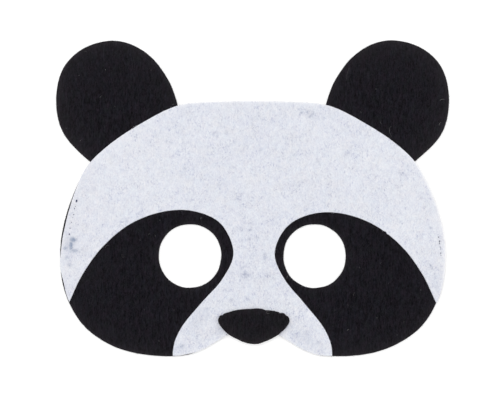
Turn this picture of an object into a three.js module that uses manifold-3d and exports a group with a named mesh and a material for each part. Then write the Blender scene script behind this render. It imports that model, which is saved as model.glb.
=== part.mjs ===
// A flat felt panda half mask, lying on its back: a black backing sheet whose ears show round a white face
// sheet and whose eye patches show through it, and a black nose on the face.
//
// Millimetres. +X to the right as the front is seen, +Y towards the ears, +Z out of the front.
// The origin is under the middle of the outline, on the surface that the mask lies on.
import * as THREE from "three";
import { mergeVertices } from "three/addons/utils/BufferGeometryUtils.js";
import Module from "manifold-3d";

// ---------------------------------------------------------------- driving sizes
const BACKING_THICK = 2.0; // stiff black felt
const FACE_THICK = 1.2; // thin white felt, which the black greys a little
const NOSE_THICK = 1.2; // black felt
const GLUE_GAP = 0.2; // between glued sheets

// Eye holes, cut by hand: a little taller than wide.
const EYES = [
  { at: "left", x: -29.55, y: -27.0, half_width: 14.85, half_height: 15.05 },
  { at: "right", x: 29.3, y: -27.05, half_width: 14.72, half_height: 15.1 },
];

// The white sheet was glued on a little askew: the backing shows as a thin dark rim down the left edge.
const FACE_SHIFT = { x: 0.35, y: 0.1 };
const NOSE_SHIFT = { x: 0.6, y: 0.0 };

const STEPS = 6; // straight pieces between two rows of a table
const EYE_STEPS = 64;

// Heights above the surface, bottom of each sheet.
const BACKING_Z = 0;
const FACE_Z = BACKING_Z + BACKING_THICK + GLUE_GAP;
const NOSE_Z = FACE_Z + FACE_THICK + GLUE_GAP;

// ---------------------------------------------------------------- outlines, right half
// Face, from the top of the forehead round the cheek to the notch above the mouth.
const FACE = [
  { at: "forehead", x: 0.0, y: 45.9 },
  { at: "forehead_side", x: 17.9, y: 45.6 },
  { at: "ear_inner_corner", x: 35.5, y: 43.8 },
  { at: "under_ear_upper", x: 52.5, y: 35.6 },
  { at: "under_ear_lower", x: 68.3, y: 25.0 },
  { at: "ear_outer_corner", x: 78.6, y: 13.9 },
  { at: "temple", x: 86.9, y: -4.5 },
  { at: "widest", x: 90.6, y: -23.0 },
  { at: "patch_corner", x: 89.0, y: -42.2 },
  { at: "cheek", x: 81.2, y: -58.1 },
  { at: "jaw", x: 68.4, y: -68.25 },
  { at: "jaw_bottom", x: 52.8, y: -73.25 },
  { at: "lowest", x: 34.4, y: -74.1 },
  { at: "muzzle", x: 23.9, y: -71.1 },
  { at: "notch_side", x: 11.3, y: -63.9 },
  { at: "notch", x: 0.0, y: -62.3 },
];

// Ear, a tab of the backing: from its inner root round the tip to its outer root. The roots lie under the face.
// left_inside: how far the left ear was cut inside this line.
const EAR = [
  { at: "inner_root", x: 33.9, y: 38.1, left_inside: 0.7 },
  { at: "inner_corner", x: 34.8, y: 45.1, left_inside: 0.7 },
  { at: "inner_side", x: 39.0, y: 56.0, left_inside: 0.6 },
  { at: "inner_shoulder", x: 47.0, y: 66.7, left_inside: 0.45 },
  { at: "top_inner", x: 57.4, y: 73.2, left_inside: 0.3 },
  { at: "top", x: 68.7, y: 74.5, left_inside: 0.15 },
  { at: "top_outer", x: 81.3, y: 70.0, left_inside: 0.1 },
  { at: "outer_shoulder", x: 90.0, y: 60.2, left_inside: 0.1 },
  { at: "outer_side", x: 92.65, y: 45.1, left_inside: 0.1 },
  { at: "outer_lower", x: 89.0, y: 30.4, left_inside: 0.1 },
  { at: "outer_corner", x: 77.0, y: 17.85, left_inside: -0.05 },
  { at: "outer_root", x: 66.1, y: 10.5, left_inside: -0.05 },
];

// Opening in the white sheet that shows the backing as an eye patch, from outside the cheek over the eye to
// below the jaw. left_wider: how far the left-hand opening was cut beyond this line.
const PATCH_OPENING = [
  { at: "outside_cheek", x: 92.8, y: -61.8, left_wider: 0.0 },
  { at: "cheek_corner", x: 86.3, y: -48.8, left_wider: 0.0 },
  { at: "outer_slope", x: 80.1, y: -35.9, left_wider: 0.0 },
  { at: "outer_brow", x: 70.9, y: -23.3, left_wider: 0.1 },
  { at: "mid_brow", x: 58.4, y: -13.1, left_wider: 0.5 },
  { at: "brow", x: 43.8, y: -7.4, left_wider: 0.8 },
  { at: "brow_top", x: 29.4, y: -7.0, left_wider: 1.3 },
  { at: "inner_brow", x: 16.8, y: -12.8, left_wider: 1.9 },
  { at: "nose_side", x: 10.6, y: -25.2, left_wider: 1.5 },
  { at: "under_eye", x: 14.9, y: -37.4, left_wider: 0.7 },
  { at: "inner_slope", x: 24.5, y: -49.2, left_wider: 0.1 },
  { at: "muzzle_side", x: 33.5, y: -60.5, left_wider: 0.0 },
  { at: "jaw_corner", x: 37.4, y: -70.2, left_wider: 0.0 },
  { at: "below_jaw", x: 37.3, y: -81.6, left_wider: 0.0 },
];

// Nose, from the middle of its top edge round the side to its tip.
const NOSE = [
  { at: "top", x: 0.0, y: -51.8 },
  { at: "top_side", x: 7.5, y: -52.5 },
  { at: "shoulder", x: 14.2, y: -54.3 },
  { at: "side", x: 16.8, y: -57.6 },
  { at: "lower_side", x: 12.9, y: -63.0 },
  { at: "lower", x: 5.6, y: -67.1 },
  { at: "tip", x: 0.0, y: -68.4 },
];

// ---------------------------------------------------------------- curves and solids
const mirrored = (rows) => rows.map((r) => ({ ...r, x: -r.x }));

// Points of the smooth curve through the rows.
function curve(rows, closed) {
  const line = new THREE.CatmullRomCurve3(
    rows.map((r) => new THREE.Vector3(r.x, r.y, 0)),
    closed,
    "catmullrom",
    0.5,
  );
  const spans = closed ? rows.length : rows.length - 1;
  const points = line
    .getPoints(spans * STEPS)
    .map((p) => new THREE.Vector2(p.x, p.y));
  if (closed) points.pop(); // the last repeats the first
  return points;
}

// A closed outline from its right half, whose first and last rows are on the middle line.
const wholeOutline = (half) =>
  curve([...half, ...mirrored(half.slice(1, -1)).reverse()], true);

// The rows moved to the right of the way they run, by the amount in one column.
function aside(rows, column) {
  return rows.map((r, i) => {
    const before = rows[Math.max(0, i - 1)],
      after = rows[Math.min(rows.length - 1, i + 1)];
    const along = new THREE.Vector2(
      after.x - before.x,
      after.y - before.y,
    ).normalize();
    return {
      ...r,
      x: r.x + along.y * r[column],
      y: r.y - along.x * r[column],
    };
  });
}

// A flat sheet cut to an outline, from z = 0 up to its thickness.
function sheet(points, thick, holes = []) {
  const shape = new THREE.Shape(points);
  shape.holes.push(...holes);
  return new THREE.ExtrudeGeometry(shape, {
    depth: thick,
    bevelEnabled: false,
    curveSegments: EYE_STEPS,
  });
}

const moved = (points, by) =>
  points.map((p) => new THREE.Vector2(p.x + by.x, p.y + by.y));

const eyeHole = (e) =>
  new THREE.Path().absellipse(
    e.x,
    e.y,
    e.half_width,
    e.half_height,
    0,
    2 * Math.PI,
  );

const wasm = await Module();
wasm.setup();

function solid(geometry) {
  const bare = new THREE.BufferGeometry()
    .setAttribute("position", geometry.getAttribute("position"))
    .setIndex(geometry.getIndex());
  const merged = mergeVertices(bare, 1e-4);
  return new wasm.Manifold(
    new wasm.Mesh({
      numProp: 3,
      vertProperties: merged.getAttribute("position").array,
      triVerts: new Uint32Array(merged.getIndex().array),
    }),
  );
}

function geometryOf(made) {
  const m = made.getMesh();
  return new THREE.BufferGeometry()
    .setAttribute(
      "position",
      new THREE.BufferAttribute(new Float32Array(m.vertProperties), 3),
    )
    .setIndex(new THREE.BufferAttribute(m.triVerts, 1));
}

function piece(name, geometry, z, colour, roughness) {
  geometry.computeVertexNormals();
  const mesh = new THREE.Mesh(
    geometry,
    new THREE.MeshStandardMaterial({ color: colour, roughness, metalness: 0 }),
  );
  mesh.name = name;
  mesh.position.z = z;
  return mesh;
}

// ---------------------------------------------------------------- pieces
const faceOutline = wholeOutline(FACE);
const earOutlines = [
  curve(EAR, false),
  curve(mirrored(aside(EAR, "left_inside")).reverse(), false),
];

// Backing: face outline and both ears in one sheet, with the two eye holes.
const backing = earOutlines.reduce(
  (made, ear) => made.add(solid(sheet(ear, BACKING_THICK))),
  solid(sheet(faceOutline, BACKING_THICK, EYES.map(eyeHole))),
);

// Face: the same outline in white, opened over the two eye patches by cutters that pass through it.
const CUTTER_PROUD = 2;
const openings = [
  curve(PATCH_OPENING, false),
  curve(mirrored(aside(PATCH_OPENING, "left_wider")).reverse(), false),
];
const face = openings.reduce(
  (made, opening) =>
    made.subtract(
      solid(
        sheet(opening, FACE_THICK + 2 * CUTTER_PROUD).translate(
          0,
          0,
          -CUTTER_PROUD,
        ),
      ),
    ),
  solid(sheet(moved(faceOutline, FACE_SHIFT), FACE_THICK)),
);

const BLACK_FELT = 0x1f1d20;
const WHITE_FELT = 0xe2e5ef;

const layers = new THREE.Group();
layers.add(
  piece("backing_with_ears", geometryOf(backing), BACKING_Z, BLACK_FELT, 0.95),
  piece("face_panel", geometryOf(face), FACE_Z, WHITE_FELT, 0.95),
  piece(
    "nose",
    sheet(moved(wholeOutline(NOSE), NOSE_SHIFT), NOSE_THICK),
    NOSE_Z,
    BLACK_FELT,
    0.95,
  ),
);

// The origin goes under the middle of the cut outline.
const extent = new THREE.Box3().setFromObject(layers);
layers.position.x = -(extent.min.x + extent.max.x) / 2;
layers.position.y = -(extent.min.y + extent.max.y) / 2;

const mask = new THREE.Group();
mask.add(layers);

export default mask;
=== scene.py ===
# A flat felt panda half mask lying on its back on a pale floor, seen from straight above.
import math

import bpy
import numpy as np
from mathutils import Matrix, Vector
from mathutils.geometry import delaunay_2d_cdt
from mathutils.kdtree import KDTree


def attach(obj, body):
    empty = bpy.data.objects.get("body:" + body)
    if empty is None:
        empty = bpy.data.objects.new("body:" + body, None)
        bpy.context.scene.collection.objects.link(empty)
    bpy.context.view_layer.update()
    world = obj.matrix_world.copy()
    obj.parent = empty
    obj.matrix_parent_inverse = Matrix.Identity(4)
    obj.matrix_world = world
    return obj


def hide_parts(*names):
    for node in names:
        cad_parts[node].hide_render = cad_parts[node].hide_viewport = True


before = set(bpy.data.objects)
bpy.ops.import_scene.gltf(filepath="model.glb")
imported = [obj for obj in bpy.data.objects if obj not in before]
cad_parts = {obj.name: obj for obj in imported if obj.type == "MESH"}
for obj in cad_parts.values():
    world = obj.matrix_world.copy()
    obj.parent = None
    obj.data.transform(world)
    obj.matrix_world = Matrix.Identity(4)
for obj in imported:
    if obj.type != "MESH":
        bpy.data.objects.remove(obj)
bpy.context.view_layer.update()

# ------------------------------------------------------------------ sizes, in millimetres
MM = 0.001
BACKING_LOW, BACKING_HIGH = 0.0, 2.0
FACE_LOW, FACE_HIGH = 2.07, 3.4
NOSE_LOW, NOSE_HIGH = 3.47, 4.75
FACE_SHIFT = (0.35, 0.1)
NOSE_SHIFT = (0.6, 0.0)
# How the picture looks at the mask: millimetres a pixel, and what is in the picture's middle.
PIXEL = 185.0 / 392.7
PICTURE = (500, 409)
AIM = (-1.178, -2.709)
EYE_HEIGHT = 1300.0

# ------------------------------------------------------------------ outlines, right half, as cut
# Eye holes: x, y, half width, half height.
EYES = {"left": (-29.55, -27.0, 14.85, 15.05), "right": (29.3, -27.05, 14.72, 15.1)}
FACE = {
    "forehead": (0.0, 45.9), "forehead_side": (17.9, 45.6), "ear_inner_corner": (35.5, 43.8),
    "under_ear_upper": (52.5, 35.6), "under_ear_lower": (68.3, 25.0), "ear_outer_corner": (78.6, 13.9),
    "temple": (86.9, -4.5), "widest": (90.6, -23.0), "patch_corner": (89.0, -42.2), "cheek": (81.2, -58.1),
    "jaw": (68.4, -68.25), "jaw_bottom": (52.8, -73.25), "lowest": (34.4, -74.1), "muzzle": (23.9, -71.1),
    "notch_side": (11.3, -63.9), "notch": (0.0, -62.3),
}
# x, y, and how far the left ear was cut inside this line
EAR = {
    "inner_root": (33.9, 38.1, 0.7), "inner_corner": (34.8, 45.1, 0.7), "inner_side": (39.0, 56.0, 0.6),
    "inner_shoulder": (47.0, 66.7, 0.45), "top_inner": (57.4, 73.2, 0.3), "top": (68.7, 74.5, 0.15),
    "top_outer": (81.3, 70.0, 0.1), "outer_shoulder": (90.0, 60.2, 0.1), "outer_side": (92.65, 45.1, 0.1),
    "outer_lower": (89.0, 30.4, 0.1), "outer_corner": (77.0, 17.85, -0.05), "outer_root": (66.1, 10.5, -0.05),
}
# x, y, and how far the left-hand opening was cut beyond this line
PATCH_OPENING = {
    "outside_cheek": (92.8, -61.8, 0.0), "cheek_corner": (86.3, -48.8, 0.0), "outer_slope": (80.1, -35.9, 0.0),
    "outer_brow": (70.9, -23.3, 0.1), "mid_brow": (58.4, -13.1, 0.5), "brow": (43.8, -7.4, 0.8),
    "brow_top": (29.4, -7.0, 1.3), "inner_brow": (16.8, -12.8, 1.9), "nose_side": (10.6, -25.2, 1.5),
    "under_eye": (14.9, -37.4, 0.7), "inner_slope": (24.5, -49.2, 0.1), "muzzle_side": (33.5, -60.5, 0.0),
    "jaw_corner": (37.4, -70.2, 0.0), "below_jaw": (37.3, -81.6, 0.0),
}
NOSE = {
    "top": (0.0, -51.8), "top_side": (7.5, -52.5), "shoulder": (14.2, -54.3), "side": (16.8, -57.6),
    "lower_side": (12.9, -63.0), "lower": (5.6, -67.1), "tip": (0.0, -68.4),
}

# Where a cut edge pulls in (depth above 0) or stands out: x, y, depth, reach along the edge.
FACE_NICKS = [
    ("left_temple_flush", -78.9, 14.0, -0.40, 7.5), ("left_rim_upper", -86.0, -3.5, 0.28, 4.5), ("left_rim", -88.2, -12.5, 0.56, 7.0), ("left_rim_mid", -89.7, -21.5, 0.16, 4.0),
    ("left_rim_closes", -90.2, -31.3, -0.38, 4.6), ("left_rim_lower", -89.5, -40.2, 0.32, 3.8), ("jaw_left_rim", -30.5, -73.3, 0.34, 4.0),
    ("notch_left_flush", -16.0, -67.0, -0.20, 6.0), ("notch_right_flush", 16.5, -67.0, -0.30, 6.5), ("muzzle_right_flush", 26.0, -72.0, -0.22, 5.0),
    ("brow_tooth", 62.4, -16.0, 0.35, 0.45), ("brow_tooth_lip", 63.3, -16.9, -0.3, 0.5),
]
NOSE_NICKS = [
    ("left_notch", -14.3, -54.6, 0.30, 0.45), ("left_shoulder", -13.0, -54.0, -0.13, 0.7), ("left_lip", -15.2, -55.2, -0.40, 0.8), ("top_left_full", -6.8, -52.5, -0.24, 3.2), ("top_bump", 1.6, -51.5, -0.22, 1.3),
    ("top_step", 6.3, -52.3, 0.26, 1.0), ("top_right_full", 4.0, -51.9, -0.20, 1.6), ("top_right_lip", 10.2, -52.9, -0.11, 0.9), ("low_left_full", -9.5, -64.9, -0.12, 3.0),
    ("right_notch", 12.9, -53.9, 0.40, 0.5), ("right_lip", 14.6, -54.3, -0.28, 0.9), ("right_shoulder", 16.6, -55.7, -0.10, 1.0),
    ("tip_left", -5.3, -67.0, -0.12, 1.2), ("tip", 2.6, -68.2, -0.13, 2.0), ("low_right", 9.6, -65.6, -0.09, 2.2), ("low_right_flat", 13.6, -62.9, 0.15, 1.3),
]
BACKING_NICKS = [
    ("jaw_right", 79.4, -60.2, -0.23, 14.0), ("jaw_right_low", 54.0, -72.8, -0.21, 14.0), ("jaw_left_low", -41.0, -74.2, -0.08, 6.0), ("jaw_left", -83.2, -55.3, 0.07, 8.0),
    ("ear_left_outer", -92.6, 47.4, -0.11, 15.0), ("ear_left_top", -76.0, 72.5, -0.09, 13.0), ("ear_left_low", -79.1, 19.6, -0.09, 5.0),
    ("ear_right_outer", 92.2, 46.0, -0.07, 13.0), ("ear_right_shoulder", 83.0, 68.5, -0.11, 14.0), ("ear_right_top", 60.0, 73.6, -0.07, 12.0), ("ear_right_low", 86.0, 26.6, -0.07, 6.0), ("notch_corner", -11.8, -64.3, -0.50, 0.5),
]
EYE_NICKS = [
    ("left_side", -44.4, -26.3, -0.24, 3.6), ("left_side_low", -43.0, -33.2, -0.13, 4.0), ("left_inner", -15.0, -29.9, -0.20, 2.4), ("left_inner_high", -18.3, -17.0, 0.16, 4.2), ("left_top", -30.6, -12.0, -0.16, 3.6), ("left_top_outer", -42.0, -19.0, -0.09, 2.6),
    ("left_bottom", -28.0, -42.0, -0.09, 3.0), ("right_top", 29.5, -12.0, -0.19, 3.0), ("right_top_outer", 36.8, -14.1, -0.15, 2.4), ("right_outer", 43.9, -26.0, -0.10, 4.0),
    ("right_bottom", 31.7, -41.9, -0.16, 2.0), ("right_bottom_outer", 37.0, -39.9, 0.11, 3.0), ("right_bottom_inner", 22.0, -40.2, -0.10, 1.8), ("right_inner_low", 17.9, -36.6, 0.14, 2.2), ("right_inner_high", 16.4, -19.9, 0.12, 2.2), ("right_inner", 14.7, -25.6, -0.10, 2.6), ("right_outer_low", 42.8, -33.1, 0.09, 2.6),
]
OPENING_PARE = 0.11  # how far the white was pared back round the eye patches

# Needle holes where the sewing thread shows on the front: x, y, thread width.
STITCHES = [
    ("left", -82.92, -1.06, 1.33), ("left", -83.48, -3.65, 0.45), ("left", -83.86, -4.69, 0.60),
    ("left", -84.23, -7.42, 0.53), ("left", -84.70, -8.83, 0.32), ("left", -85.22, -11.19, 0.47),
    ("left", -85.98, -13.97, 0.55), ("left", -86.26, -16.75, 0.80),
    ("right", 87.62, -18.11, 0.66), ("right", 88.10, -20.05, 0.90), ("right", 88.10, -21.08, 0.64),
    ("right", 88.47, -22.82, 0.53), ("right", 88.57, -23.67, 0.53), ("right", 88.66, -25.65, 0.65),
    ("right", 88.80, -26.64, 0.51),
]

# Marks on the white felt: x, y, half width, half height, turn in degrees, strength, blueness.
STAINS = [
    ("smudge_top", -84.5, -19.4, 1.65, 1.2, -8, 1.00, 1), ("smudge", -85.4, -22.0, 1.0, 2.8, -2, 0.97, 1),
    ("smudge_foot", -84.0, -24.4, 2.0, 0.95, -8, 0.62, 1), ("smudge_side", -88.1, -23.3, 0.9, 0.8, 0, 0.74, 1),
    ("smudge_halo", -86.3, -21.6, 2.3, 2.8, 0, 0.30, 0.8), ("spot_low_left", -87.4, -27.8, 1.1, 1.0, 0, 0.40, 0.8),
    ("spot_lower_left", -86.2, -31.1, 1.0, 1.0, 0, 0.62, 0.6), ("forehead_right", 26.0, 40.1, 3.6, 1.5, -15, 0.22, 0.5),
    ("forehead_right_core", 27.2, 38.9, 0.9, 0.8, -20, 0.62, 0.6), ("forehead_left", -17.7, 31.0, 1.5, 1.2, -30, 0.38, 0.2),
    ("temple_left", -40.5, 26.8, 0.9, 0.8, 0, 0.39, 0.2), ("temple_left_twin", -38.4, 26.8, 0.9, 0.8, 0, 0.55, 0.2),
    ("brow_right", 44.2, 21.3, 1.6, 1.2, 0, 0.40, 0.2), ("temple_right", 70.4, 12.2, 1.4, 1.2, -35, 0.60, 0.3),
    ("cheek_right", 84.1, -32.0, 0.6, 2.2, 35, 0.78, 0.3), ("cheek_right_tail", 85.9, -36.0, 0.5, 1.8, 5, 0.40, 0.3), ("bridge_high", -5.1, -14.4, 0.9, 0.9, 0, 0.70, 0.3),
    ("bridge_high_mid", -1.3, -14.8, 0.9, 0.7, 20, 0.69, 0.3), ("bridge_high_low", -1.5, -19.0, 0.8, 0.8, 0, 0.73, 0.3),
    ("bridge_right_high", 2.4, -18.3, 0.9, 0.7, 10, 0.52, 0.3), ("bridge_right_mid", 5.9, -27.0, 0.9, 1.6, 0, 0.66, 0.25),
    ("bridge_left", -3.5, -35.4, 1.2, 1.1, 0, 0.95, 0.3), ("bridge_left_halo", -3.3, -36.3, 2.2, 1.8, 0, 0.49, 0.25),
    ("bridge_streak", -4.7, -32.5, 1.9, 0.5, 35, 0.42, 0.25), ("bridge_right", 6.9, -35.9, 1.3, 1.2, 0, 0.41, 0.25),
    ("above_nose", -2.3, -47.0, 1.3, 0.5, -40, 0.40, 0.3), ("above_nose_left", -9.8, -47.7, 1.1, 1.1, 0, 0.39, 0.25),
    ("muzzle_left", -21.6, -52.1, 1.3, 1.1, 0, 0.52, 0.25), ("muzzle_left_low", -24.4, -56.7, 1.0, 1.2, 0, 0.40, 0.25),
    ("bridge_top", -6.5, 0.1, 1.2, 1.6, 0, 0.44, 0.2), ("over_patch_left", -59.4, -10.6, 1.0, 1.1, 0, 0.40, 0.3),
    ("over_brow_left", -53.0, -7.2, 1.5, 0.9, 20, 0.30, 0.2),
    # Painted shadow: the marks on the next line darken the white beside the nose, partly grey soiling and partly
    # painted shadow of the nose; muzzle_left_shade is mostly painted shadow.
    ("muzzle_right_grey_and_shadow", 24.2, -65.6, 8.5, 2.8, -36, 0.21, 0.4), ("muzzle_left_grey_and_shadow", -25.5, -57.0, 6.5, 4.0, 50, 0.17, 0.5), ("muzzle_left_shade", -16.6, -62.4, 4.6, 2.3, 32, 0.20, 0.6),
    ("muzzle_left_foot", -33.2, -69.6, 1.1, 1.0, 0, 0.70, 0.6), ("muzzle_right_foot", 30.9, -67.7, 1.0, 0.9, 0, 0.58, 0.3), ("cheek_right_speck", 84.1, -13.7, 0.7, 0.6, 0, 0.66, 0.3),
    ("cheek_right_high", 79.4, 0.4, 0.8, 0.7, 0, 0.44, 0.2), ("forehead_right_twin", 22.9, 40.5, 0.7, 0.7, 0, 0.62, 0.6), ("forehead_left_low", -16.7, 29.6, 0.8, 0.7, 0, 0.42, 0.2),
    ("cheek_right_low", 86.6, -40.5, 1.6, 4.2, 8, 0.16, 0.3), ("forehead_right_low", 19.6, 20.6, 0.8, 0.7, 0, 0.42, 0.6), ("muzzle_right_fleck", 25.3, -62.9, 1.0, 0.8, 30, 0.42, 0.3), ("muzzle_right_high", 21.3, -57.6, 0.9, 0.8, 0, 0.36, 0.3),
    ("forehead_right_mid", 25.8, 40.7, 0.7, 0.9, 0, 0.60, 0.6), ("forehead_right_end", 28.4, 39.9, 0.9, 1.1, -30, 0.46, 0.6),
    ("forehead_left_far", -12.3, 31.4, 0.6, 0.9, 0, 0.30, 0.6), ("forehead_centre", 3.7, 22.9, 0.6, 0.9, 0, 0.34, 0.6),
    ("forehead_right_ring", 18.7, 29.4, 1.4, 1.3, 0, 0.17, 0.6), ("forehead_left_outer", -31.9, 14.3, 0.8, 0.9, 30, 0.36, 0.6),
]
# Pale creases down the white felt: x, top, bottom, half width, strength.
CREASES = [("right", 37.75, 34.0, -6.5, 0.22, 1.0), ("middle", 3.6, 11.0, -6.0, 0.20, 0.6), ("left", -41.2, 3.6, -1.9, 0.22, 0.8)]

# Cleaner (above 0) or greyer places on the white felt: x, y, half width, half height, strength.
CLEANER = [("left_temple", -60, 24, 20, 16, 0.6), ("above_nose_right", 9, -48.5, 9, 7, 0.62), ("left_cheek_edge", -87, -29.5, 5, 6, -0.45), ("under_right_ear", 57, 31, 7, 6, -0.45)]

# Pale lint on the black felt: x, y of its middle, length, heading in degrees, bend, width, lightness.
LINT = [
    ("ear_right_long", 44.8, 58.9, 7.0, 77, 0.5, 0.055, 0.115), ("ear_right_low", 64.9, 31.7, 5.0, 97, 0.9, 0.085, 0.25), ("ear_right_edge", 89.4, 46.8, 2.4, 10, 0.2, 0.092, 0.5),
    ("ear_right_under", 88.3, 35.4, 1.6, 60, 0.3, 0.082, 0.74), ("ear_right_root", 60.5, 35.7, 1.5, 110, 0.2, 0.08, 0.24), ("ear_right_fleck", 51.1, 40.9, 0.8, 20, 0.1, 0.064, 0.44),
    ("ear_right_dot", 58.2, 51.7, 0.6, 90, 0.1, 0.12, 0.36), ("ear_left_speck", -69.3, 60.8, 0.5, 70, 0.1, 0.125, 0.60), ("ear_left_dash", -71.6, 48.1, 1.4, 52, 0.2, 0.060, 0.35),
    ("ear_left_side", -81.7, 58.3, 0.6, 40, 0.1, 0.074, 0.33), ("ear_left_low", -64.9, 43.5, 0.5, 90, 0.1, 0.09, 0.17), ("ear_left_corner", -37.5, 44.5, 0.6, 30, 0.1, 0.12, 0.34),
    ("ear_left_root", -81.1, 27.5, 0.8, 60, 0.1, 0.080, 0.52), ("ear_left_top", -78.7, 69.4, 1.2, -10, 0.2, 0.06, 0.17), ("ear_left_inner", -47.8, 60.7, 0.7, 90, 0.1, 0.055, 0.5),
    ("ear_left_outer", -87.9, 33.3, 0.7, 70, 0.1, 0.068, 0.35), ("ring_right", 16.6, -36.6, 2.9, 66, 0.4, 0.10, 0.34), ("brow_left", -24.3, -9.1, 1.0, 20, 0.1, 0.106, 0.43),
    ("brow_left_outer", -43.6, -10.0, 0.7, 30, 0.1, 0.070, 0.5), ("eye_left", -45.9, -17.5, 0.8, 100, 0.1, 0.075, 0.55), ("eye_left_beside", -48.8, -16.6, 0.7, 60, 0.1, 0.061, 0.35),
    ("patch_left_brow", -53.0, -19.4, 0.7, 90, 0.1, 0.076, 0.26), ("patch_left_edge", -68.9, -22.3, 2.2, 35, 0.6, 0.10, 0.22), ("patch_left", -61.3, -27.0, 2.0, 120, 0.9, 0.07, 0.17),
    ("patch_left_dot", -55.8, -45.8, 0.7, 90, 0.1, 0.077, 0.18), ("patch_left_low", -51.1, -52.4, 0.8, 80, 0.1, 0.078, 0.25), ("patch_left_inner", -37.0, -52.4, 0.7, 90, 0.1, 0.062, 0.2),
    ("jaw_left", -44.0, -67.0, 0.7, 90, 0.1, 0.091, 0.40), ("eye_right", 50.6, -32.6, 0.7, 90, 0.1, 0.089, 0.35), ("patch_right_high", 60.5, -30.3, 0.7, 90, 0.1, 0.054, 0.35),
    ("patch_right_side", 64.3, -39.7, 0.8, 70, 0.2, 0.050, 0.28), ("patch_right_corner", 79.4, -43.0, 0.7, 90, 0.1, 0.080, 0.36), ("patch_right_low", 47.8, -44.9, 1.6, 80, 0.3, 0.084, 0.24),
    ("patch_right_inner", 45.0, -50.1, 0.7, 90, 0.1, 0.066, 0.29), ("muzzle_right", 38.9, -52.4, 0.9, 40, 0.1, 0.051, 0.33), ("patch_right_mid", 58.7, -56.2, 0.8, 80, 0.1, 0.084, 0.32),
    ("jaw_right_side", 71.4, -58.1, 0.7, 70, 0.1, 0.079, 0.31), ("jaw_right", 45.0, -61.8, 0.9, 60, 0.1, 0.14, 0.5), ("jaw_right_low", 68.1, -64.2, 0.7, 90, 0.1, 0.10, 0.27),
]

# ------------------------------------------------------------------ plane geometry
def spline(rows, closed, per=240):
    """Points of the smooth curve through the rows."""
    p = np.array([r[:2] for r in rows], float)
    if closed:
        q, spans = np.vstack([p[-1:], p, p[:2]]), len(p)
    else:
        q, spans = np.vstack([2 * p[:1] - p[1:2], p, 2 * p[-1:] - p[-2:-1]]), len(p) - 1
    t = (np.arange(per) / per)[:, None]
    made = []
    for a, b, c, d in zip(q[:spans], q[1:spans + 1], q[2:spans + 2], q[3:spans + 3]):
        s, e = (c - a) / 2, (d - b) / 2
        made.append(b + s * t + (3 * (c - b) - 2 * s - e) * t**2 + (2 * (b - c) + s + e) * t**3)
    if not closed:
        made.append(p[-1:])
    return np.vstack(made)


def whole(half):
    """A closed outline from its right half, clockwise from the top."""
    rows = list(half.values())
    return spline(rows + [(-x, y) for x, y, *_ in rows[-2:0:-1]], True)


def inside(points, outline):
    """Whether each point is inside a closed outline."""
    points = np.asarray(points, float)
    a, b = outline, np.roll(outline, -1, axis=0)
    low, high = np.minimum(a[:, 1], b[:, 1]), np.maximum(a[:, 1], b[:, 1])
    order, found = np.argsort(points[:, 1], kind="stable"), np.zeros(len(points), bool)
    for k in range(0, len(points), 600):
        some = order[k:k + 600]
        x, y = points[some, :1], points[some, 1:2]
        near = (high >= y.min()) & (low <= y.max())
        p, q = a[near], b[near]
        crosses = (p[:, 1] > y) != (q[:, 1] > y)
        rise = np.where(q[:, 1] == p[:, 1], 1e-12, q[:, 1] - p[:, 1])
        found[some] = (crosses & (x < (q[:, 0] - p[:, 0]) * (y - p[:, 1]) / rise + p[:, 0])).sum(1) % 2 == 1
    return found


def away(points, outline):
    """How far each point is from an outline's points."""
    near = KDTree(len(outline))
    for k, (x, y) in enumerate(outline.tolist()):
        near.insert((x, y, 0), k)
    near.balance()
    return np.array([near.find((x, y, 0))[2] for x, y in np.asarray(points, float).tolist()])


def stepped(line, step):
    """An open line again with even steps, its ends kept."""
    along = np.concatenate([[0], np.cumsum(np.linalg.norm(np.diff(line, axis=0), axis=1))])
    at = np.linspace(0, along[-1], max(2, int(round(along[-1] / step))) + 1)
    return np.stack([np.interp(at, along, line[:, k]) for k in (0, 1)], axis=1)


def joined(lines, step):
    """One closed outline from open lines that follow each other, each stepped evenly, meeting at shared corners."""
    made = []
    for line, after in zip(lines, lines[1:] + lines[:1]):
        line = line.copy()
        line[-1] = (line[-1] + after[0]) / 2
        after[0] = line[-1]
        made.append([line, after])
    lines = [m[0] for m in made]
    lines[0][0] = lines[-1][-1]
    for k in range(1, len(lines)):
        lines[k][0] = lines[k - 1][-1]
    return np.vstack([stepped(line, step)[:-1] for line in lines])


def outside_run(line, outline, want_inside=False):
    """The longest stretch of an open line that is outside an outline, or inside it."""
    keep = inside(line, outline) == want_inside
    edge = np.flatnonzero(np.diff(np.concatenate([[0], keep.astype(int), [0]])))
    runs = list(zip(edge[::2], edge[1::2]))
    a, b = max(runs, key=lambda r: r[1] - r[0])
    return line[a:b]


def between(outline, start, end):
    """The stretch of a closed outline from near one point to near another, the way it runs."""
    i = int(((outline - start) ** 2).sum(1).argmin())
    j = int(((outline - end) ** 2).sum(1).argmin())
    return np.roll(outline, -i, axis=0)[: (j - i) % len(outline) + 1]


def mirrored(line):
    return (line * (-1, 1))[::-1]


def inward(loop):
    """Unit vectors into the material, for a loop with the material on its left."""
    along = np.roll(loop, -1, axis=0) - np.roll(loop, 1, axis=0)
    along /= np.maximum(np.linalg.norm(along, axis=1, keepdims=True), 1e-9)
    return np.stack([-along[:, 1], along[:, 0]], axis=1)


def nicked(loop, nicks):
    """The loop with its edge pulled in or out at each nick."""
    n, depth = inward(loop), np.zeros(len(loop))
    for _, x, y, deep, reach in nicks:
        depth += deep * np.exp(-(((loop - (x, y)) ** 2).sum(1)) / reach**2)
    return loop + n * depth[:, None]


# ------------------------------------------------------------------ smooth noise, the same each run
def hashed(ix, iy, seed):
    h = (ix.astype(np.int64) * 374761393 + iy.astype(np.int64) * 668265263 + seed * 974634777) & 0xFFFFFFFF
    h = ((h ^ (h >> 13)) * 1274126177) & 0xFFFFFFFF
    return ((h ^ (h >> 16)) & 0xFFFFFF) / 0xFFFFFF * 2 * np.pi


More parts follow.
